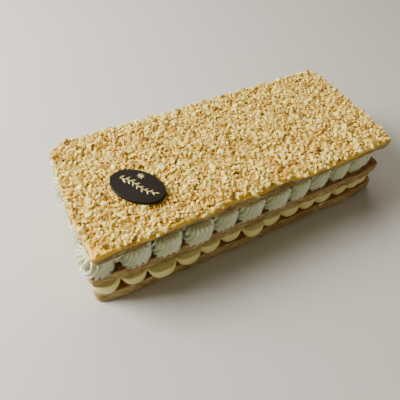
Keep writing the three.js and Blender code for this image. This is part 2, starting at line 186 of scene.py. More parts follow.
def step(tree, kind, feeds=None, **settings):
    """One node with its settings and what runs into it; gives back its first output."""
    made = tree.nodes.new(kind)
    for label, value in settings.items():
        setattr(made, label, value)
    for label, term in (feeds or {}).items():
        feed(tree, made.inputs[label], term)
    return Flow(tree, made.outputs[0])


def start_tree(name, sizes):
    """A Geometry Nodes tree with a mesh, a material and named sizes running in."""
    tree = bpy.data.node_groups.new(name, "GeometryNodeTree")
    tree.interface.new_socket("Mesh", in_out="INPUT", socket_type="NodeSocketGeometry")
    tree.interface.new_socket("Material", in_out="INPUT", socket_type="NodeSocketMaterial")
    for label, value in sizes.items():
        kind = "NodeSocketInt" if isinstance(value, int) else "NodeSocketFloat"
        tree.interface.new_socket(label, in_out="INPUT", socket_type=kind).default_value = value
    tree.interface.new_socket("Mesh", in_out="OUTPUT", socket_type="NodeSocketGeometry")
    entry = tree.nodes.new("NodeGroupInput")
    given = {socket.name: Flow(tree, socket) for socket in entry.outputs if socket.name}
    return tree, given


def end_tree(tree, geometry, given, smooth=True):
    """Realize, shade and give the material, as every tree here ends."""
    real = step(tree, "GeometryNodeRealizeInstances", {"Geometry": geometry})
    shaded = step(tree, "GeometryNodeSetShadeSmooth", {"Geometry": real, "Shade Smooth": smooth})
    dressed = step(tree, "GeometryNodeSetMaterial", {
        "Geometry": shaded, "Material": given["Material"]})
    leave = tree.nodes.new("NodeGroupOutput")
    feed(tree, leave.inputs[0], dressed)
    return tree


def grown(name, tree, start, material, **sizes):
    """Run a tree on a starting mesh and keep what it makes as a plain mesh object."""
    piece = shown(name, start)
    modifier = piece.modifiers.new("make", "NODES")
    modifier.node_group = tree
    values = {label.replace("_", " ").title(): value for label, value in sizes.items()}
    values["Material"] = material
    for item in tree.interface.items_tree:
        if item.in_out == "INPUT" and item.name in values:
            modifier[item.identifier] = values.pop(item.name)
    assert not values, f"{name}: no input named {sorted(values)}"
    ready = piece.evaluated_get(bpy.context.evaluated_depsgraph_get())
    plain = bpy.data.meshes.new_from_object(ready)
    piece.modifiers.remove(modifier)
    piece.data = plain
    plain.name = name
    return piece


def carry(mesh, name, values):
    """Give a starting mesh one number a point, for its tree to read."""
    mesh.attributes.new(name, "FLOAT", "POINT").data.foreach_set("value", values)


def parts_of(tree, place):
    split = tree.nodes.new("ShaderNodeSeparateXYZ")
    feed(tree, split.inputs[0], place)
    return [Flow(tree, socket) for socket in split.outputs]


def vector(tree, x, y, z):
    return step(tree, "ShaderNodeCombineXYZ", {"X": x, "Y": y, "Z": z})


def noise(tree, where, scale, detail=2.0, roughness=0.5):
    """Cloudy noise, between about -0.5 and 0.5. Its scale says how many clouds lie in a metre."""
    feeds = {"Vector": where, "Scale": scale, "Detail": detail, "Roughness": roughness}
    return step(tree, "ShaderNodeTexNoise", feeds) - 0.5


def unit_grid(tree, columns, rows):
    """A grid to bend into a skin, and how far along and how far up it each point lies, 0 to 1."""
    grid = step(tree, "GeometryNodeMeshGrid", {
        "Size X": 1.0, "Size Y": 1.0, "Vertices X": columns, "Vertices Y": rows})
    x, y, _ = parts_of(tree, step(tree, "GeometryNodeInputPosition"))
    return grid, x + 0.5, y + 0.5


def end_skin(tree, grid, placed, given):
    """Bend the grid, close it where its edges meet, and end the tree."""
    bent = step(tree, "GeometryNodeSetPosition", {"Geometry": grid, "Position": placed})
    sealed = step(tree, "GeometryNodeMergeByDistance", {"Geometry": bent, "Distance": SEAM})
    return end_tree(tree, sealed, given)


def stored(tree, geometry, name, value):
    """A number that each point keeps, for later steps and for the material."""
    return step(tree, "GeometryNodeStoreNamedAttribute", {
        "Geometry": geometry, "Name": name, "Value": value}, data_type="FLOAT", domain="POINT")


def attribute(tree, name):
    return step(tree, "GeometryNodeInputNamedAttribute", {"Name": name}, data_type="FLOAT")


# ---- Materials ----
def blend(tree, share, first, second):
    """A colour between two: the first at a share of 0, the second at 1."""
    made = tree.nodes.new("ShaderNodeMix")
    made.data_type = "RGBA"
    for slot, term in zip((0, 6, 7), (share, first, second)):
        feed(tree, made.inputs[slot], term)
    return Flow(tree, made.outputs[2])


def start_material(name, roughness, **constants):
    """A principled material; what is the same all over is set on its own socket."""
    material = bpy.data.materials.new(name)
    material.use_nodes = True
    shader = material.node_tree.nodes["Principled BSDF"]
    shader.inputs["Roughness"].default_value = roughness
    sockets = {socket.name.lower().replace(" ", "_"): socket for socket in shader.inputs}
    for label, value in constants.items():
        sockets[label].default_value = value
    coordinates = material.node_tree.nodes.new("ShaderNodeTexCoord")
    place = Flow(material.node_tree, coordinates.outputs["Object"])
    return material, material.node_tree, shader, place


def read(tree, name):
    """A number that the mesh carries, for a material."""
    made = tree.nodes.new("ShaderNodeAttribute")
    made.attribute_name = name
    return Flow(tree, made.outputs["Fac"])


def bumped(tree, shader, height, strength, distance):
    made = tree.nodes.new("ShaderNodeBump")
    made.inputs["Strength"].default_value = strength
    made.inputs["Distance"].default_value = distance
    feed(tree, made.inputs["Height"], height)
    tree.links.new(made.outputs["Normal"], shader.inputs["Normal"])


# ---- Outlines ----
# Each sheet is cut by hand from a plain rectangle, a little slanted and with uneven edges.
LENGTH = 300 * MM          # the top sheet, which the lower ones follow
DEPTH = 129 * MM
EDGE_WAVE = 1.1 * MM       # how far a sheet's edge wanders from straight
EDGE_RECESS = 0.5 * MM     # how far the leaves lie in from the outermost of them
UNEVEN_STEP = 25 * MM      # spacing of the listed unevenness of an edge
OUTLINE_STEP = 3 * MM
END_SHARE = 0.35           # of half a side, in which the near side lies back


def smooth_wave(distance, seed):
    """Between -1 and 1 along a distance, from three waves that never meet again."""
    slow = math.sin(distance / (23.7 * MM) + seed * 1.7)
    middling = math.sin(distance / (9.1 * MM) + seed * 4.3)
    quick = math.sin(distance / (4.7 * MM) + seed * 9.2)
    return 0.45 * slow + 0.35 * middling + 0.2 * quick


def hand_cut(sheet, x, y, slant=0.0):
    """Where a place of the plain rectangle lies: the left side slants in toward the back with a
    slight belly, and the near side lies back at its ends."""
    left, right, near, far = sheet["edges"]
    deep = (y - near) / (far - near)
    to_left = (right - x) / (right - left)
    from_middle = abs(2 * to_left - 1)
    at_end = max(0.0, from_middle / END_SHARE - (1 - END_SHARE) / END_SHARE)
    sideways = (sheet["slant"] + slant) * deep - sheet["belly"] * math.sin(math.pi * deep) ** 2
    return Vector((x + sideways * to_left, y + sheet["tuck"] * (1 - deep) * at_end ** 2))


def footprint(sheet):
    """Points anticlockwise round a sheet: the place, the way that faces out, the distance round.
    At a corner they lie about a millimetre apart."""
    left, right, near, far = sheet["edges"]
    radii = sheet["radii"]
    corners = [(left, near, 1, 1), (right, near, -1, 1), (right, far, -1, -1), (left, far, 1, -1)]
    points = []
    for index, ((x, y, in_x, in_y), radius) in enumerate(zip(corners, radii)):
        centre = Vector((x + in_x * radius, y + in_y * radius))
        steps = max(4, round(radius * math.pi / 2 / MM))
        for i in range(steps + 1):
            angle = math.pi * (1 + index / 2) + (i / steps) * math.pi / 2
            out = Vector((math.cos(angle), math.sin(angle)))
            points.append((centre + radius * out, out))
        start = points[-1][0]
        next_x, next_y = corners[(index + 1) % 4][:2]
        side = Vector((next_x - x, next_y - y))
        run = side.length - radius - radii[(index + 1) % 4]
        side_steps = round(run / OUTLINE_STEP)
        for i in range(1, side_steps):
            points.append((start + side.normalized() * run * i / side_steps, out))
    travelled = 0
    previous = points[0][0]
    measured = []
    for point, out in points:
        travelled += (point - previous).length
        previous = point
        measured.append((hand_cut(sheet, point.x, point.y), out, travelled))
    return measured


def from_top_sheet(left, right, near, far):
    """The edges of a footprint, given by how far they lie from the top sheet's nominal edges."""
    return (corner.x + left * MM, corner.x + LENGTH + right * MM,
            corner.y + near * MM, corner.y + DEPTH + far * MM)


def between(values, x):
    """A value between listed ones that stand at even steps along the cake, in millimetres."""
    place = min(max((x - corner.x) / UNEVEN_STEP, 0), len(values) - 1.001)
    before = int(place)
    share = place - before
    share = share * share * (3 - 2 * share)
    return (values[before] * (1 - share) + values[before + 1] * share) * MM


def outline_mesh(name, places):
    loop = bpy.data.meshes.new(name)
    count = len(places)
    edges = [(i, (i + 1) % count) for i in range(count)]
    loop.from_pydata([(p.x, p.y, 0) for p in places], edges, [])
    return loop


# ---- Lower pastry sheets ----
# Two sheets of laminated dough, baked apart and browned on top. Their sides show the thin leaves
# that butter has driven apart, standing in and out, some pale and some toasted.
SIDE_ROUGHNESS = 0.85


def sheet_tree():
    """A closed baked sheet on an outline: underside, leafy side, crust drawn in to the middle.
    Where the rim is drawn in, the crust bends down over the upper part of the side."""
    tree, given = start_tree("Baked sheet", {
        "Base": 0.0, "Height": 0.011, "Around": 860, "Leaves": 12.0, "Leaf Depth": 0.0006,
        "Stand Out": 0.0006, "Drift": 2.0, "Crumb": 0.0003, "Blisters": 0.0004,
        "Rim Drawn In": 0.0, "Rim Reach": 0.2, "Seed": 0.0,
    })
    rows = 64
    under_share = 0.06     # of the rows: underside, then side, then crust
    crust_share = 0.30
    grid, around, up = unit_grid(tree, given["Around"] + 1, rows)
    rise = ((up - under_share) / (1 - under_share - crust_share)).clamped()
    under = ((under_share - up) / under_share).clamped()
    crust = ((up - (1 - crust_share)) / crust_share).clamped()

    # The place on the outline that a point stands over
    curve = step(tree, "GeometryNodeMeshToCurve", {"Mesh": given["Mesh"]})
    sampler = tree.nodes.new("GeometryNodeSampleCurve")
    sampler.mode = "FACTOR"
    sampler.use_all_curves = True
    feed(tree, sampler.inputs["Curves"], curve)
    feed(tree, sampler.inputs["Factor"], around)
    feed(tree, sampler.inputs["Value"], attribute(tree, "overhang"))
    overhang = Flow(tree, sampler.outputs["Value"])
    rim = Flow(tree, sampler.outputs["Position"])
    along = Flow(tree, sampler.outputs["Tangent"])
    outward = step(
        tree, "ShaderNodeVectorMath", {0: along, 1: (0, 0, 1)}, operation="CROSS_PRODUCT")

    rim_x, rim_y, _ = parts_of(tree, rim)
    height = rise * given["Height"]
    flattened = 2.5        # clouds on the side are this much longer than high
    skin = vector(tree, rim_x, rim_y, height * flattened + given["Seed"])
    edge = vector(tree, rim_x, rim_y, given["Seed"])

    # Which leaf of the side a point is on, and how far that leaf stands out
    drift = noise(tree, edge, 42, 3.0) * given["Drift"]
    ripple = noise(tree, skin, 220, 3.0) * 2.0
    leaf = rise * given["Leaves"] + drift + ripple
    ridge = (leaf * math.pi).taken("SINE").taken("ABSOLUTE") ** 0.55
    far_apart = 0.37       # in metres, so that no leaf has the noise of the next
    leaf_number = leaf.taken("FLOOR")
    one_leaf = vector(tree, rim_x, rim_y, leaf_number * far_apart + given["Seed"])
    stands = noise(tree, one_leaf, 110, 3.0)

    # How far the point itself stands out
    crumbs = noise(tree, skin, 900, 3.0, 0.6)
    wander = noise(tree, edge, 60, 2.0) * 0.8 * MM
    shoulder = ((rise * 2.0 - 1.0).taken("ABSOLUTE") ** 7) * 0.7 * MM
    bend_line = 1 - given["Rim Reach"] * (1 + noise(tree, edge, 55, 3.0) * 1.6)
    bent = ((rise - bend_line) / (1 - bend_line)).clamped()
    relief = (ridge - 1) * given["Leaf Depth"] + stands * 2 * given["Stand Out"]
    relief = relief * (1 - bent * 0.8) + crumbs * given["Crumb"] * 2 - overhang * (1 - rise)
    relief = relief + wander - shoulder - bent ** 2 * given["Rim Drawn In"]

    # Crust and underside are drawn in to the middle
    inward = (crust ** 1.7).most(under)
    fade = (1 - crust).most(0) ** 3
    spot = vector(tree, rim_x * (1 - inward), rim_y * (1 - inward), given["Seed"])
    swell = noise(tree, spot, 110, 3.0) * 2 * given["Blisters"] * (crust * 9).least(1)
    moved = step(
        tree, "ShaderNodeVectorMath", {0: outward, "Scale": relief * fade}, operation="SCALE")
    reached = step(tree, "ShaderNodeVectorMath", {0: rim, 1: moved}, operation="ADD")
    drawn_in = step(
        tree, "ShaderNodeVectorMath", {0: reached, "Scale": 1 - inward}, operation="SCALE")
    level = vector(tree, 0.0, 0.0, given["Base"] + height + swell)
    placed = step(tree, "ShaderNodeVectorMath", {0: drawn_in, 1: level}, operation="ADD")

    # What the material reads
    glazed = (bent * 5).least(1) * (given["Rim Drawn In"] * 1000).least(1)
    shape = stored(tree, grid, "crust", (crust * 14).least(1).most(glazed))
    # How deep in the groove between two leaves a point lies, where the material paints shade
    shape = stored(tree, shape, "groove", (1 - ridge) * fade * (1 - glazed * 0.7))
    shape = stored(tree, shape, "leaf_tone", stands + 0.5)
    return end_skin(tree, shape, placed, given)


def sheet_outline(name, sheet):
    """The outline of a sheet, its edge wandering a little. A sheet that baked unevenly gives a list
    of how far its upper and its lower edge stand out along the near side."""
    places, overhangs = [], []
    for point, out, travelled in footprint(sheet):
        wandering = EDGE_WAVE * smooth_wave(travelled, sheet["wave"])
        upper = lower = wandering
        if "uneven" in sheet:
            facing_near = max(0.0, -out.y)
            upper, lower = (wandering + (between(edge, point.x) - wandering) * facing_near
                            for edge in sheet["uneven"])
        places.append(point + out * (upper - EDGE_RECESS))
        overhangs.append(upper - lower)
    outline = outline_mesh(name, places)
    carry(outline, "overhang", overhangs)
    return outline


def pastry_material(name, flake, pale, toasted, groove, darker_to_right,
                    crust_light, crust_dark, crust_roughness):
    """Sides from pale flakes to toasted leaves, darker to the right by a share, with painted
    shade in the grooves between the leaves, and a freckled crust."""
    material, tree, shader, place = start_material(name, SIDE_ROUGHNESS)
    patches = noise(tree, place, 38, 4.0, 0.6)
    along, across, up = parts_of(tree, place)
    by_leaf = (read(tree, "leaf_tone") - 0.5) * 2.4
    # Random toasted patches and leaves, shifted by a share darker to the right; paler to the right
    # where the share is below nought
    toast = patches * 2.6 + along / LENGTH * darker_to_right + by_leaf + 0.42
    side = blend(tree, toast.clamped(), pale, toasted)
    flaky = noise(tree, vector(tree, along, across, up * 4.5), 90, 3.0, 0.6)
    side = blend(tree, (flaky * 7 - 0.5).clamped(), side, flake)
    fine = noise(tree, place, 800, 3.0, 0.6)
    # Painted shade: the grooves between the leaves are darkened toward the groove colour
    side = blend(tree, (read(tree, "groove") * 1.15 + fine * 0.5).clamped(), side, groove)
    freckles = noise(tree, place, 95, 4.0, 0.65)
    crust = blend(tree, (freckles * 3.2 + 0.5).clamped(), crust_light, crust_dark)
    feed(tree, shader.inputs["Base Color"], blend(tree, read(tree, "crust"), side, crust))
    feed(tree, shader.inputs["Roughness"],
         SIDE_ROUGHNESS + read(tree, "crust") * (crust_roughness - SIDE_ROUGHNESS))
    bumped(tree, shader, fine + patches, 0.5, 0.4 * MM)
    return material


# The groove colour is painted shade between the leaves
lower_pastry = pastry_material(
    "lower_pastry", flake=(0.84, 0.72, 0.42, 1), pale=(0.62, 0.46, 0.18, 1),
    toasted=(0.38, 0.22, 0.05, 1), groove=(0.14, 0.065, 0.015, 1), darker_to_right=0.4,
    crust_light=(0.42, 0.17, 0.03, 1), crust_dark=(0.15, 0.045, 0.012, 1), crust_roughness=0.5)
baked_sheet = sheet_tree()

bottom_sheet = dict(
    edges=from_top_sheet(-5.0, -0.5, -3.6, -0.5), slant=7 * MM, belly=0.0, tuck=4 * MM,
    radii=(6 * MM, 6 * MM, 12 * MM, 13 * MM), wave=1, leaves=6.0, seed=0.31)
middle_sheet = dict(
    edges=from_top_sheet(-5.5, -0.5, -2.8, -1.5), slant=7 * MM, belly=0.0, tuck=3 * MM,
    radii=(5 * MM, 6 * MM, 13 * MM, 14 * MM), wave=2, leaves=5.0, seed=0.74)
for node_name, sheet in (("bottom_pastry", bottom_sheet), ("middle_pastry", middle_sheet)):
    low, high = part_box(node_name)
    name = node_name.replace("pastry", "sheet")
    piece = grown(name, baked_sheet, sheet_outline(node_name, sheet), lower_pastry,
                  base=low[2], height=high[2] - low[2], leaves=sheet["leaves"],
                  leaf_depth=0.8 * MM, stand_out=0.9 * MM, drift=2.6, seed=sheet["seed"])
    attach(piece, "root")
    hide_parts(node_name)


# ---- Piped fillings ----
# Custard and cream are both piped in shapes that stand side by side all round the sheet below,
# with a flat layer between them. The near side's are uneven, the others nearly even.
CROWDING = 0.11            # how much closer piped shapes stand at the right end
WANDER = 1.2 * MM          # how far each lies from its even place
SIZE_SPREAD = 0.05         # how much they differ in size, either way
STAND_SPREAD = 0.5         # and in how far they stand out
CORNER_DRAWN_IN = 3 * MM   # how far the corner ones lie back from the far side
RUFFLED_REACH = 60 * MM    # round the near left corner piped ridges are more ragged
SLAB_INSET = 8.5 * MM      # how far the flat layer lies in from the sheet's edge
SLAB_RADII = (5 * MM,) * 4
SLAB_FOLLOWS = 0.6         # share of a filling's right inset that its flat layer also has
CORNER_SWEEP = 300         # degrees of its round that a piped shape shows at a corner
BESIDE_SWEEP = 240         # and between two others
RIDGE_TURN = 1.3           # how much further round the next shape's ridges start


def unevenness(index, seed):
    """Between -1 and 1, another for each piped shape."""
    return math.sin(index * 2.4 + seed * 1.9 + 0.8 * math.sin(index * 1.1 + seed))


def piped_places(sheet, plan):
    """Piped shapes all round the sheet below: each one's centre, its size, the way it faces, and
    1 if it stands between two others, 0 if at a corner."""
    left, right, near, far = sheet["edges"]
    radius, stands_out, seed = plan["radius"], plan["stands_out"], plan["seed"]
    along_long = len(plan["near_out"])
    inset = radius - stands_out
    first, last = left + inset + plan["left_inset"], right - inset
    pitch = (last - first) / (along_long - 1)
    places = []

    def uneven_out():
        return stands_out * (1 + STAND_SPREAD * unevenness(len(places), seed + 5))

    def add(x, y, in_x, in_y, share, facing, beside, out):
        size = share * (1 + SIZE_SPREAD * unevenness(len(places), seed + 1))
        back = radius * size - out
        centre = hand_cut(sheet, x + in_x * (back - inset), y + in_y * back, plan["slant"])
        places.append(dict(centre_x=centre.x, centre_y=centre.y, size=size, facing=facing,
                           beside=beside))

    for y, in_y in ((near, 1), (far, -1)):
        along = []
        for i in range(along_long):
            even = i / (along_long - 1)
            shift = 0 if i in (0, along_long - 1) else WANDER * unevenness(len(places) + i, seed)
            along.append(first + (last - first) * (even + CROWDING * even * (1 - even)) + shift)
        for i, x in enumerate(along):
            lean = -1 if i == 0 else 1 if i == along_long - 1 else 0
            neighbours = along[min(i + 1, along_long - 1)] - along[max(i - 1, 0)]
            share = neighbours / pitch / (1 if lean else 2)
            right_inset = plan["right_inset"] if lean == 1 else 0.0
            if in_y > 0:
                out = plan["near_out"][i] * MM
            else:
                out = uneven_out() - abs(lean) * CORNER_DRAWN_IN
            facing = math.atan2(-in_y, lean)
            add(x - right_inset, y, 0, in_y, share, facing, 1.0 - abs(lean), out)
    for x, in_x in ((first, 1), (last - plan["right_inset"], -1)):
        for i in range(1, plan["along_short"] + 1):
            shift = WANDER * unevenness(len(places), seed)
            y = near + inset + (far - near - 2 * inset) * i / (plan["along_short"] + 1)
            add(x, y + shift, in_x, 0, 1, math.atan2(0, -in_x), 1.0, uneven_out())
    return places


def piped_points(name, places):
    """A mesh of loose points that carry how each piped shape is turned and sized."""
    columns = {label: [place[label] for place in places] for label in places[0]}
    centres = list(zip(columns["centre_x"], columns["centre_y"]))
    columns["turn"] = [i * RIDGE_TURN for i in range(len(places))]
    columns["sweep"] = [math.radians(CORNER_SWEEP - (CORNER_SWEEP - BESIDE_SWEEP) * beside)
                        for beside in columns["beside"]]
    columns["ragged"] = [max(0.0, 1 - math.hypot(x - corner.x, y - corner.y) / RUFFLED_REACH)
                         for x, y in centres]
    points = bpy.data.meshes.new(name)
    points.from_pydata([(x, y, 0) for x, y in centres], [], [])
    for label, values in columns.items():
        carry(points, label, values)
    return points


def piped_tree():
    """Closed piped shapes on points: a profile swept round, with ridges from the nozzle's teeth."""
    tree, given = start_tree("Piped shapes", {
        "Base": 0.0, "Top": 0.02, "Radius": 0.013, "Belly": 0.5, "Base Width": 0.7,
        "Top Width": 0.97, "Side Tuck": 0.3, "Squareness": 0.1, "Teeth": 0.0, "Groove": 0.0,
        "Twist": 0.0, "Droop": 0.0, "Wobble": 0.0003, "Round": 60, "Rows": 26,
    })
    back_share = 0.02      # of the way round, drawn in to the axis to close the back
    cap_share = 0.06       # of the rows, drawn in to close the top and the underside
    grid, along, up = unit_grid(tree, given["Round"], given["Rows"])
    grid = stored(tree, stored(tree, grid, "round", along), "up", up)
    copies = step(tree, "GeometryNodeInstanceOnPoints", {"Points": given["Mesh"], "Instance": grid})
    copies = step(tree, "GeometryNodeRealizeInstances", {"Geometry": copies})

    # How far round and up a point lies; the back and both ends are drawn in
    way = attribute(tree, "round")
    up = attribute(tree, "up")
    beside = attribute(tree, "beside")
    centre_x, centre_y = attribute(tree, "centre_x"), attribute(tree, "centre_y")
    swept = ((way - back_share) / (1 - 2 * back_share)).clamped()
    skin = (way.least(1 - way) / back_share).clamped()
    rise = ((up - cap_share) / (1 - 2 * cap_share)).clamped()
    cap = (up.least(1 - up) / cap_share).clamped()
    turned_from_front = (swept - 0.5) * attribute(tree, "sweep")
    angle = attribute(tree, "facing") + turned_from_front

    # The width at each height and on each side
    below = ((given["Belly"] - rise) / given["Belly"]).clamped()
    above = ((rise - given["Belly"]) / (1 - given["Belly"])).clamped()
    tuck_low = (1 - (1 - below ** 2).taken("SQRT")) * (1 - given["Base Width"])
    tuck_high = (1 - (1 - above ** 2).taken("SQRT")) * (1 - given["Top Width"])
    sideways = turned_from_front.taken("SINE") ** 2
    tuck_side = sideways * (1 - rise) ** 2 * given["Side Tuck"] * beside
    square = (turned_from_front * 2).taken("SINE") ** 2 * given["Squareness"] * beside
    width = (1 - tuck_low - tuck_high) * (1 - tuck_side) * (1 + square)

    # The ridges lean over as they rise, more on one side, and stand unevenly
    fanned = 1.2 - turned_from_front.taken("SINE") * 0.4 * beside
    lean = given["Twist"] * (1 - (1 - rise) ** 1.8) * fanned
    slow = noise(tree, vector(tree, centre_x, centre_y, angle * 0.02), 70, 1.0)
    tooth = (angle - attribute(tree, "turn") - lean) * given["Teeth"] / 2 + slow * 2.5
    valley = tooth.taken("SINE").taken("ABSOLUTE") ** 0.85
    ragged = attribute(tree, "ragged")
    grooved = 1 - valley * given["Groove"] * (1 + ragged * 0.6)
    radius = given["Radius"] * attribute(tree, "size") * width * grooved

    # Unevenness, and tips that hang down at the ridges' ends
    level = given["Base"] + (given["Top"] - given["Base"]) * rise
    here = vector(tree, centre_x + angle.taken("COSINE") * radius,
                  centre_y + angle.taken("SINE") * radius, level)
    uneven = noise(tree, here, 150, 3.0) * 2 * given["Wobble"] * (1 + ragged * 1.8)
    tips = noise(tree, here, 120, 1.0) * 2.0 + 0.8
    hang = given["Droop"] * (1 - rise) ** 3 * (1 - valley) ** 1.5 * tips.most(0.0)
    closed = skin * cap
    reach = (radius + uneven + hang * 0.25) * closed
    placed = vector(tree, centre_x + angle.taken("COSINE") * reach,
                    centre_y + angle.taken("SINE") * reach, level - hang * closed)

    # The valley between the ridges is kept for the cream's material, which paints shade there
    return end_skin(tree, stored(tree, copies, "valley", valley), placed, given)


def joined(name, *pieces):
    """Several objects of one material made one."""
    together = bmesh.new()
    for piece in pieces:
        together.from_mesh(piece.data)
    first = pieces[0]
    together.to_mesh(first.data)
    together.free()
    for piece in pieces[1:]:
        bpy.data.objects.remove(piece)
    first.name = name
    return first


def flat_layer(sheet, right_inset):
    """The footprint of a filling's flat layer, which lies in from all sides of the sheet below."""
    left, right, near, far = sheet["edges"]
    return dict(sheet, radii=SLAB_RADII, edges=(
        left + SLAB_INSET, right - SLAB_INSET - SLAB_FOLLOWS * right_inset,
        near + SLAB_INSET, far - SLAB_INSET))


def filling(name, node_name, sheet, plan, height, material, shape):
    """Piped shapes all round, joined to the flat layer that runs between the sheets."""
    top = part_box(node_name)[1][2]
    points = piped_points(name, piped_places(sheet, plan))
    base = top - height
    shapes = grown(
        name, piped, points, material, base=base, top=top, radius=plan["radius"], **shape)
    inner = [point for point, _, _ in footprint(flat_layer(sheet, plan["right_inset"]))]
    slab = grown(name + "_slab", baked_sheet, outline_mesh(name, inner), material, base=base,
                 height=height, around=120, leaves=0.0, leaf_depth=0.0, stand_out=0.2 * MM,
                 blisters=0.0, seed=0.5)
    return joined(name, shapes, slab)


piped = piped_tree()


# ---- Custard ----
# A layer of set custard, piped from a plain round nozzle. Smooth lobes show side by side all
# round, squashed a little by the sheet above and drooping over the edge of the one below.
CUSTARD_HEIGHT = 13.5 * MM


def custard_material():
    material, tree, shader, place = start_material(
        "custard", 0.38, subsurface_weight=0.25, subsurface_radius=(6 * MM, 4 * MM, 1.5 * MM))
    cloud = noise(tree, place, 60, 3.0)
    color = blend(
        tree, (cloud * 2 + 0.5).clamped(), (0.92, 0.86, 0.38, 1), (0.84, 0.76, 0.29, 1))
    feed(tree, shader.inputs["Base Color"], color)
    bumped(tree, shader, noise(tree, place, 420, 2.0), 0.25, 0.15 * MM)
    return material


custard = filling(
    "custard_layer", "custard", bottom_sheet,
    dict(near_out=(2, 1.5, 6, 4.5, 1.5, -0.5, 4.5, 0.5, -0.5, -1, -0.5, -1.5, -1.5, -2),
         along_short=4, radius=11.8 * MM, stands_out=3.5 * MM, left_inset=4 * MM,
         right_inset=9.5 * MM, slant=0.0, seed=7),
    CUSTARD_HEIGHT, custard_material(),
    dict(belly=0.5, base_width=0.7, top_width=0.97, side_tuck=0.4, squareness=0.12, droop=0.4 * MM,
         wobble=0.3 * MM, round=40, rows=18))
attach(custard, "root")
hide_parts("custard")


# ---- Whipped cream ----
# Rosettes of stiff whipped cream from a large star nozzle, side by side all round under the top
# sheet. The ridges swing to one side as they come down and end in a ragged row of tips.
CREAM_HEIGHT = 19.5 * MM


def cream_material():
    material, tree, shader, place = start_material(
        "whipped_cream", 0.5, subsurface_weight=0.3, subsurface_radius=(3 * MM, 3 * MM, 2 * MM))
    # Painted shade: the valleys between the ridges are darkened toward a yellow-green
    deep = (read(tree, "valley") ** 2).clamped()
    color = blend(tree, deep, (0.91, 0.96, 0.73, 1), (0.55, 0.57, 0.27, 1))
    feed(tree, shader.inputs["Base Color"], color)
    bumped(tree, shader, noise(tree, place, 700, 3.0), 0.25, 0.2 * MM)
    return material


cream = filling(
    "cream_layer", "whipped_cream", middle_sheet,
    dict(near_out=(2, 1.5, 3, 4.5, 1.5, 2, 2, 0.5, -1.2, -2.2, -3.5, -4.5), along_short=3,
         radius=13.4 * MM, stands_out=3.8 * MM, left_inset=0.0, right_inset=11 * MM,
         slant=3 * MM, seed=3),
    CREAM_HEIGHT, cream_material(),
    dict(belly=0.6, base_width=0.92, top_width=0.95, side_tuck=0.16, squareness=0.2, teeth=15.0,
         groove=0.26, twist=0.75, droop=2.2 * MM, wobble=0.6 * MM, round=144, rows=22))
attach(cream, "root")
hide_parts("whipped_cream")


# ---- Top sheet ----
# The top sheet of puff pastry, with a golden egg and sugar glaze that shines where no almonds lie.
TOP_HEIGHT = 11 * MM       # of the pastry, without the almonds
UPPER_EDGE = (2, 0, 2.4, 0.4, 1.4, -2.4, -0.8, -3.6, 2.2, 1.5, 0.8, -1.5, -1.3)
LOWER_EDGE = (0.2, -0.4, -2.8, -3.2, -2, 0.6, 1.2, -0.2, -2.6, -2.8, -2.2, -3, -3.4)

top_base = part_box("top_pastry")[0][2]
pastry_top = top_base + TOP_HEIGHT

# Its groove colour, too, is painted shade between the leaves
glazed_pastry = pastry_material(
    "glazed_pastry", flake=(0.84, 0.74, 0.46, 1), pale=(0.56, 0.42, 0.16, 1),
    toasted=(0.32, 0.19, 0.05, 1), groove=(0.13, 0.07, 0.02, 1), darker_to_right=-0.6,
    crust_light=(0.98, 0.62, 0.035, 1), crust_dark=(0.80, 0.44, 0.03, 1), crust_roughness=0.55)
top_rim = dict(
    edges=from_top_sheet(-0.8, 1.5, -1.7, -0.5), slant=4 * MM, belly=2.6 * MM, tuck=0.0,
    radii=(5.5 * MM, 5 * MM, 15 * MM, 18 * MM), wave=3, uneven=(UPPER_EDGE, LOWER_EDGE))
top_sheet = grown("top_sheet", baked_sheet, sheet_outline("top_sheet", top_rim), glazed_pastry,
                  base=top_base, height=TOP_HEIGHT, leaves=5.0, leaf_depth=0.9 * MM,
                  stand_out=1.2 * MM, drift=3.0, blisters=0.5 * MM, rim_drawn_in=1.6 * MM,
                  rim_reach=0.3, seed=0.12)
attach(top_sheet, "root")
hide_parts("top_pastry")


# ---- Chopped almonds ----
# Blanched almonds, chopped to bits of two to eight millimetres and toasted, strewn thickly on the
# sticky glaze. A bare strip is left along the near edge, where only strays lie.
ALMOND_KINDS = 15
ALMOND_SEED = 40           # of the first kind
BLOCKY_POINTS = 20         # that one bit is the hull of
CRUMB_POINTS = 14
BARE_CORNERS = (22 * MM, 12 * MM, 12 * MM, 15 * MM)  # radii, in the footprint's order
# Pale bits that lie by themselves on the bare corner and on the near edge: the kind, where the
# middle lies from the top sheet's near left corner and how high, the length, the turn and the dip
LONE_BITS = (
    (5, 140.4, -1.0, 0.9, 12.0, -60, 22), (11, 146.0, 2.6, 1.0, 8.0, -15, 0),
    (3, 178.3, 2.6, 1.6, 5.8, 20, 0), (11, 166.5, 0.6, 1.0, 8.0, -20, 5),
    (5, 187.2, -0.4, 0.9, 7.5, -10, 8), (4, 5.0, 1.6, 0.7, 4.6, 40, 0),
)


def almond_field(name, margin, bare_strip):
    """The part of the top that almonds cover, one flat face. Its near edge follows the crust's."""
    left, right, near, far = top_rim["edges"]
    covered = dict(top_rim, radii=BARE_CORNERS, edges=(
        left + margin, right - margin, near + margin + bare_strip, far - margin))
    points = []
    for point, out, travelled in footprint(covered):
        ragged = between(UPPER_EDGE, point.x) + bare_strip * smooth_wave(travelled, 5)
        points.append(point + out * ragged * max(0.0, -out.y))
    field = bpy.data.meshes.new(name)
    field.from_pydata([(p.x, p.y, pastry_top) for p in points], [], [range(len(points))])
    return field


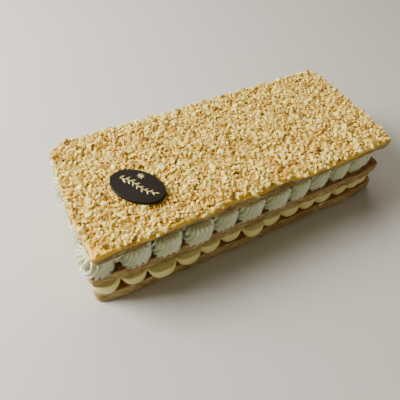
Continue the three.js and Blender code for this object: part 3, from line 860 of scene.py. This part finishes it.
def almond_bits(kinds):
    """Source shapes for the strewn bits, one unit long: blocky ones, rounder crumbs and slivers."""
    bits = bpy.data.collections.new("almond_bits")
    for kind in range(kinds):
        shape = random.Random(kind + ALMOND_SEED)
        bm = bmesh.new()
        blocky = kind % 3 == 0
        sliver = kind % 6 == 5
        width = shape.uniform(0.17, 0.23) if sliver else shape.uniform(0.34, 0.46)
        depth = shape.uniform(0.14, 0.19) if sliver else shape.uniform(0.26, 0.38)
        for _ in range(BLOCKY_POINTS if blocky else CRUMB_POINTS):
            way = Vector([shape.gauss(0, 1) for _ in range(3)]).normalized()
            if blocky:
                way /= max(abs(way.x), abs(way.y), abs(way.z)) ** 0.7
            bm.verts.new((way.x * 0.5, way.y * width, way.z * depth))
        hull = bmesh.ops.convex_hull(bm, input=bm.verts)
        inner = [v for v in hull["geom_interior"] if isinstance(v, bmesh.types.BMVert)]
        bmesh.ops.delete(bm, geom=inner, context="VERTS")
        bit = bpy.data.meshes.new(f"almond_bit_{kind:02d}")
        bm.to_mesh(bit)
        bm.free()
        bits.objects.link(bpy.data.objects.new(bit.name, bit))
    return bits


def strewn_tree(bits):
    """Bits strewn over a face, each turned, tilted, sized and toned by chance from a fixed seed."""
    tree, given = start_tree("Strewn almonds", {
        "Spacing": 0.002, "Density": 400000.0, "Smallest": 0.002, "Largest": 0.005, "Lift": 0.001,
        "Lift Spread": 0.0005, "Tilt": 0.5, "Seed": 1,
    })
    spots = step(tree, "GeometryNodeDistributePointsOnFaces", {
        "Mesh": given["Mesh"], "Distance Min": given["Spacing"], "Density Max": given["Density"],
        "Seed": given["Seed"]}, distribute_method="POISSON")

    def chance(offset, least, most, kind="FLOAT"):
        made = tree.nodes.new("FunctionNodeRandomValue")
        made.data_type = kind
        slots = {"FLOAT": (2, 3, 1), "INT": (4, 5, 2)}[kind]
        feed(tree, made.inputs[slots[0]], least)
        feed(tree, made.inputs[slots[1]], most)
        feed(tree, made.inputs["Seed"], given["Seed"] + offset)
        return Flow(tree, made.outputs[slots[2]])

    source = tree.nodes.new("GeometryNodeCollectionInfo")
    source.inputs["Collection"].default_value = bits
    source.inputs["Separate Children"].default_value = True
    source.inputs["Reset Children"].default_value = True
    turn = step(tree, "FunctionNodeEulerToRotation", {"Euler": vector(
        tree, chance(1, -1.0, 1.0) * given["Tilt"], chance(2, -1.0, 1.0) * given["Tilt"],
        chance(3, 0.0, 2 * math.pi))})
    mostly_small = chance(4, 0.0, 1.0) ** 1.4
    length = given["Smallest"] + (given["Largest"] - given["Smallest"]) * mostly_small
    size = vector(tree, length * chance(5, 0.8, 1.25), length, length * chance(6, 0.75, 1.15))
    strewn = step(tree, "GeometryNodeInstanceOnPoints", {
        "Points": spots, "Instance": Flow(tree, source.outputs[0]), "Pick Instance": True,
        "Instance Index": chance(7, 0, ALMOND_KINDS - 1, "INT"), "Rotation": turn,
        "Scale": size})
    lift = vector(tree, 0.0, 0.0, given["Lift"] + given["Lift Spread"] * chance(8, -1.0, 1.0))
    strewn = step(tree, "GeometryNodeTranslateInstances", {
        "Instances": strewn, "Translation": lift, "Local Space": False})
    toned = step(tree, "GeometryNodeStoreNamedAttribute", {
        "Geometry": strewn, "Name": "tone", "Value": chance(9, 0.0, 1.0)},
        data_type="FLOAT", domain="INSTANCE")
    return end_tree(tree, toned, given, smooth=False)


def almond_material():
    """From pale to dark toasted, one tone a bit. A bit that carries no tone is pale."""
    material, tree, shader, place = start_material(
        "toasted_almond", 0.6, subsurface_weight=0.05,
        subsurface_radius=(2 * MM, 1.5 * MM, 1 * MM))
    ramp = tree.nodes.new("ShaderNodeValToRGB")
    tones = [
        (0.0, (0.96, 0.83, 0.25, 1)), (0.30, (0.92, 0.73, 0.18, 1)),
        (0.60, (0.82, 0.58, 0.13, 1)), (0.80, (0.72, 0.47, 0.06, 1)),
        (0.93, (0.54, 0.30, 0.02, 1)), (0.98, (0.25, 0.13, 0.02, 1))]
    while len(ramp.color_ramp.elements) < len(tones):
        ramp.color_ramp.elements.new(0.5)
    for stop, (where, color) in zip(ramp.color_ramp.elements, tones):
        stop.position = where
        stop.color = color
    toast = noise(tree, place, 420, 2.0)
    feed(tree, ramp.inputs["Fac"], (read(tree, "tone") + toast * 0.35).clamped())
    feed(tree, shader.inputs["Base Color"], Flow(tree, ramp.outputs["Color"]))
    bumped(tree, shader, noise(tree, place, 1500, 2.0), 0.3, 0.1 * MM)
    return material


def lone_bits(name, bits, material):
    """The listed bits, each laid in its own place, as one piece."""
    together = bmesh.new()
    for kind, x, y, lift, length, turn, dip in LONE_BITS:
        bit = bits.objects[f"almond_bit_{kind:02d}"].data.copy()
        place = Vector((corner.x + x * MM, corner.y + y * MM, pastry_top + lift * MM))
        turned = Matrix.Rotation(math.radians(turn), 4, "Z")
        dipped = Matrix.Rotation(math.radians(dip), 4, "Y")
        bit.transform(Matrix.Translation(place) @ turned @ dipped @ Matrix.Scale(length * MM, 4))
        together.from_mesh(bit)
        bpy.data.meshes.remove(bit)
    placed = bpy.data.meshes.new(name)
    together.to_mesh(placed)
    together.free()
    placed.materials.append(material)
    return shown(name, placed)


bits = almond_bits(ALMOND_KINDS)
strewn = strewn_tree(bits)
almond = almond_material()
layers = (
    ("bed", 1.5 * MM, 1.8 * MM, dict(
        spacing=2.3 * MM, smallest=3.0 * MM, largest=5.4 * MM, lift=0.6 * MM,
        lift_spread=0.4 * MM, tilt=0.6, seed=11)),
    ("heap", 2.0 * MM, 2.4 * MM, dict(
        spacing=2.9 * MM, smallest=3.0 * MM, largest=6.8 * MM, lift=1.8 * MM,
        lift_spread=0.5 * MM, tilt=0.7, seed=29)),
    ("strays", 1.2 * MM, 0.0, dict(
        spacing=6.5 * MM, smallest=3 * MM, largest=5.5 * MM, lift=0.8 * MM,
        lift_spread=0.2 * MM, tilt=0.5, seed=5)),
)
for layer_name, margin, bare_strip, strewing in layers:
    field = almond_field(layer_name, margin, bare_strip)
    almonds = grown("almond_" + layer_name, strewn, field, almond, **strewing)
    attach(almonds, "root")
    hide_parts("top_pastry")
lone = lone_bits("almond_lone", bits, almond)
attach(lone, "root")
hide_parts("top_pastry")
for bit in list(bits.objects):
    bpy.data.objects.remove(bit)
bpy.data.collections.remove(bits)


# ---- Chocolate plaque ----
# A thin oval of dark chocolate cast in a flat mould, laid on the almonds, with a sprig of leaves
# and a small flower laid on it in pale gold.
PLAQUE_LENGTH = 50 * MM
PLAQUE_WIDTH = 33 * MM
PLAQUE_TURN = math.radians(-54)
PLAQUE_EDGE = 0.8 * MM
SPRIG_LENGTH = 34 * MM
SPRIG_SWAY = 1.6 * MM
SPRIG_LEAVES = 15
SPRIG_GAP = 0.02 * MM      # between the plaque and the gold on it
FIRST_LEAF = 5.6           # its length in millimetres
LEAF_TAPER = 2.0           # how much shorter the last one is
LEAF_SPLAY = math.radians(48)
FLOWER_PLACE = Vector((-3 * MM, 10.2 * MM))  # on the plaque, from its centre
FLOWER_PETALS = 7
PETAL_LENGTH = 3.6 * MM

plaque_thickness = plaque_high.z - plaque_low.z
plaque_place = (Matrix.Translation((plaque_centre.x, plaque_centre.y, plaque_low.z))
                @ Matrix.Rotation(PLAQUE_TURN, 4, "Z"))


def oval_plate(name, length, width, thickness, edge):
    """A closed oval plate with rounded rims, built ring by ring between two flat faces."""
    around = 96
    quarter = 5
    profile = [(2 * edge, 0.0)]
    for start, centre_height in ((-1, edge), (0, thickness - edge)):
        for i in range(quarter + 1):
            angle = (start + i / quarter) * math.pi / 2
            profile.append((edge * (1 - math.cos(angle)), centre_height + edge * math.sin(angle)))
    profile.append((2 * edge, thickness))
    bm = bmesh.new()
    rings = []
    for inset, height in profile:
        ring = []
        for i in range(around):
            angle = 2 * math.pi * i / around
            ring.append(bm.verts.new(((length / 2 - inset) * math.cos(angle),
                                      (width / 2 - inset) * math.sin(angle), height)))
        rings.append(ring)
    for below, above in zip(rings, rings[1:]):
        for i in range(around):
            j = (i + 1) % around
            bm.faces.new((below[i], below[j], above[j], above[i]))
    bm.faces.new(reversed(rings[0]))
    bm.faces.new(rings[-1])
    plate = bpy.data.meshes.new(name)
    bm.to_mesh(plate)
    bm.free()
    for face in plate.polygons:
        face.use_smooth = True
    return plate


def chocolate_material():
    material, tree, shader, place = start_material("dark_chocolate", 0.45, specular_ior_level=0.15)
    bloom = noise(tree, place, 45, 3.0)
    color = blend(
        tree, (bloom * 2 + 0.5).clamped(), (0.007, 0.004, 0.003, 1), (0.014, 0.009, 0.007, 1))
    feed(tree, shader.inputs["Base Color"], color)
    bumped(tree, shader, noise(tree, place, 90, 2.0), 0.1, 0.3 * MM)
    return material


def leaf_blade():
    """One small pointed leaf, one unit long, closed, with a raised middle rib."""
    bm = bmesh.new()
    stations = 6
    broadest = 0.17        # half of its width
    keel, rib = -0.02, 0.07  # heights of its middle line, below and above
    rings = []
    for i in range(1, stations):
        along = i / stations
        half = broadest * math.sin(math.pi * along ** 0.8)
        rings.append([bm.verts.new(place) for place in (
            (along, -half, 0.0), (along, 0, keel), (along, half, 0.0), (along, 0, rib))])
    base, tip = bm.verts.new((0, 0, 0)), bm.verts.new((1, 0, 0))
    for before, after in zip(rings, rings[1:]):
        for i in range(4):
            j = (i + 1) % 4
            bm.faces.new((before[i], after[i], after[j], before[j]))
    for i in range(4):
        j = (i + 1) % 4
        bm.faces.new((base, rings[0][i], rings[0][j]))
        bm.faces.new((tip, rings[-1][j], rings[-1][i]))
    bmesh.ops.recalc_face_normals(bm, faces=bm.faces)
    blade = bpy.data.meshes.new("leaf_blade")
    bm.to_mesh(blade)
    bm.free()
    return bpy.data.objects.new("leaf_blade", blade)


def sprig_start():
    """The stem as a chain of edges, a leaf at each of its points, and loose points for petals."""
    places, headings, lengths = [], [], []
    for i in range(SPRIG_LEAVES):
        along = i / (SPRIG_LEAVES - 1)
        swing = 2 * math.pi * along
        places.append(((along - 0.5) * SPRIG_LENGTH, SPRIG_SWAY * math.sin(swing), 0))
        slope = math.atan2(SPRIG_SWAY * 2 * math.pi * math.cos(swing), SPRIG_LENGTH)
        side = 0 if i == SPRIG_LEAVES - 1 else (-1) ** i
        headings.append(slope + side * LEAF_SPLAY)
        lengths.append((FIRST_LEAF - LEAF_TAPER * along) * MM)
    for i in range(FLOWER_PETALS):
        places.append((FLOWER_PLACE.x, FLOWER_PLACE.y, 0))
        headings.append(2 * math.pi * i / FLOWER_PETALS)
        lengths.append(PETAL_LENGTH)
    start = bpy.data.meshes.new("sprig")
    start.from_pydata(places, [(i, i + 1) for i in range(SPRIG_LEAVES - 1)], [])
    carry(start, "heading", headings)
    carry(start, "leaf_length", lengths)
    return start


def sprig_tree(blade):
    """A flat stem along the edges and a leaf on every point."""
    tree, given = start_tree("Sprig", {"Stem Width": 0.0006, "Stem Height": 0.0002})
    stem = step(tree, "GeometryNodeMeshToCurve", {"Mesh": given["Mesh"]})
    section = step(tree, "GeometryNodeCurvePrimitiveQuadrilateral", {
        "Width": given["Stem Width"], "Height": given["Stem Height"]})
    stem = step(tree, "GeometryNodeCurveToMesh", {
        "Curve": stem, "Profile Curve": section, "Fill Caps": True})
    source = tree.nodes.new("GeometryNodeObjectInfo")
    source.inputs["Object"].default_value = blade
    length = attribute(tree, "leaf_length")
    turn = step(tree, "FunctionNodeEulerToRotation", {
        "Euler": vector(tree, 0.0, 0.0, attribute(tree, "heading"))})
    leaves = step(tree, "GeometryNodeInstanceOnPoints", {
        "Points": given["Mesh"], "Instance": Flow(tree, source.outputs["Geometry"]),
        "Rotation": turn, "Scale": vector(tree, length, length, length)})
    both = tree.nodes.new("GeometryNodeJoinGeometry")
    for part in (stem, leaves):
        tree.links.new(part.socket, both.inputs[0])
    return end_tree(tree, Flow(tree, both.outputs[0]), given, smooth=False)


plate = oval_plate("plaque", PLAQUE_LENGTH, PLAQUE_WIDTH, plaque_thickness, PLAQUE_EDGE)
plate.transform(plaque_place)
plate.materials.append(chocolate_material())
plaque = shown("plaque", plate)

pale_gold = start_material("pale_gold", 0.4, base_color=(0.60, 0.50, 0.20, 1), metallic=0.35)[0]
blade = leaf_blade()
sprig = grown("sprig", sprig_tree(blade), sprig_start(), pale_gold)
sprig.data.transform(plaque_place @ Matrix.Translation((0, 0, plaque_thickness + SPRIG_GAP)))
bpy.data.objects.remove(blade)

for piece in (plaque, sprig):
    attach(piece, "root")
    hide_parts("chocolate_plaque")
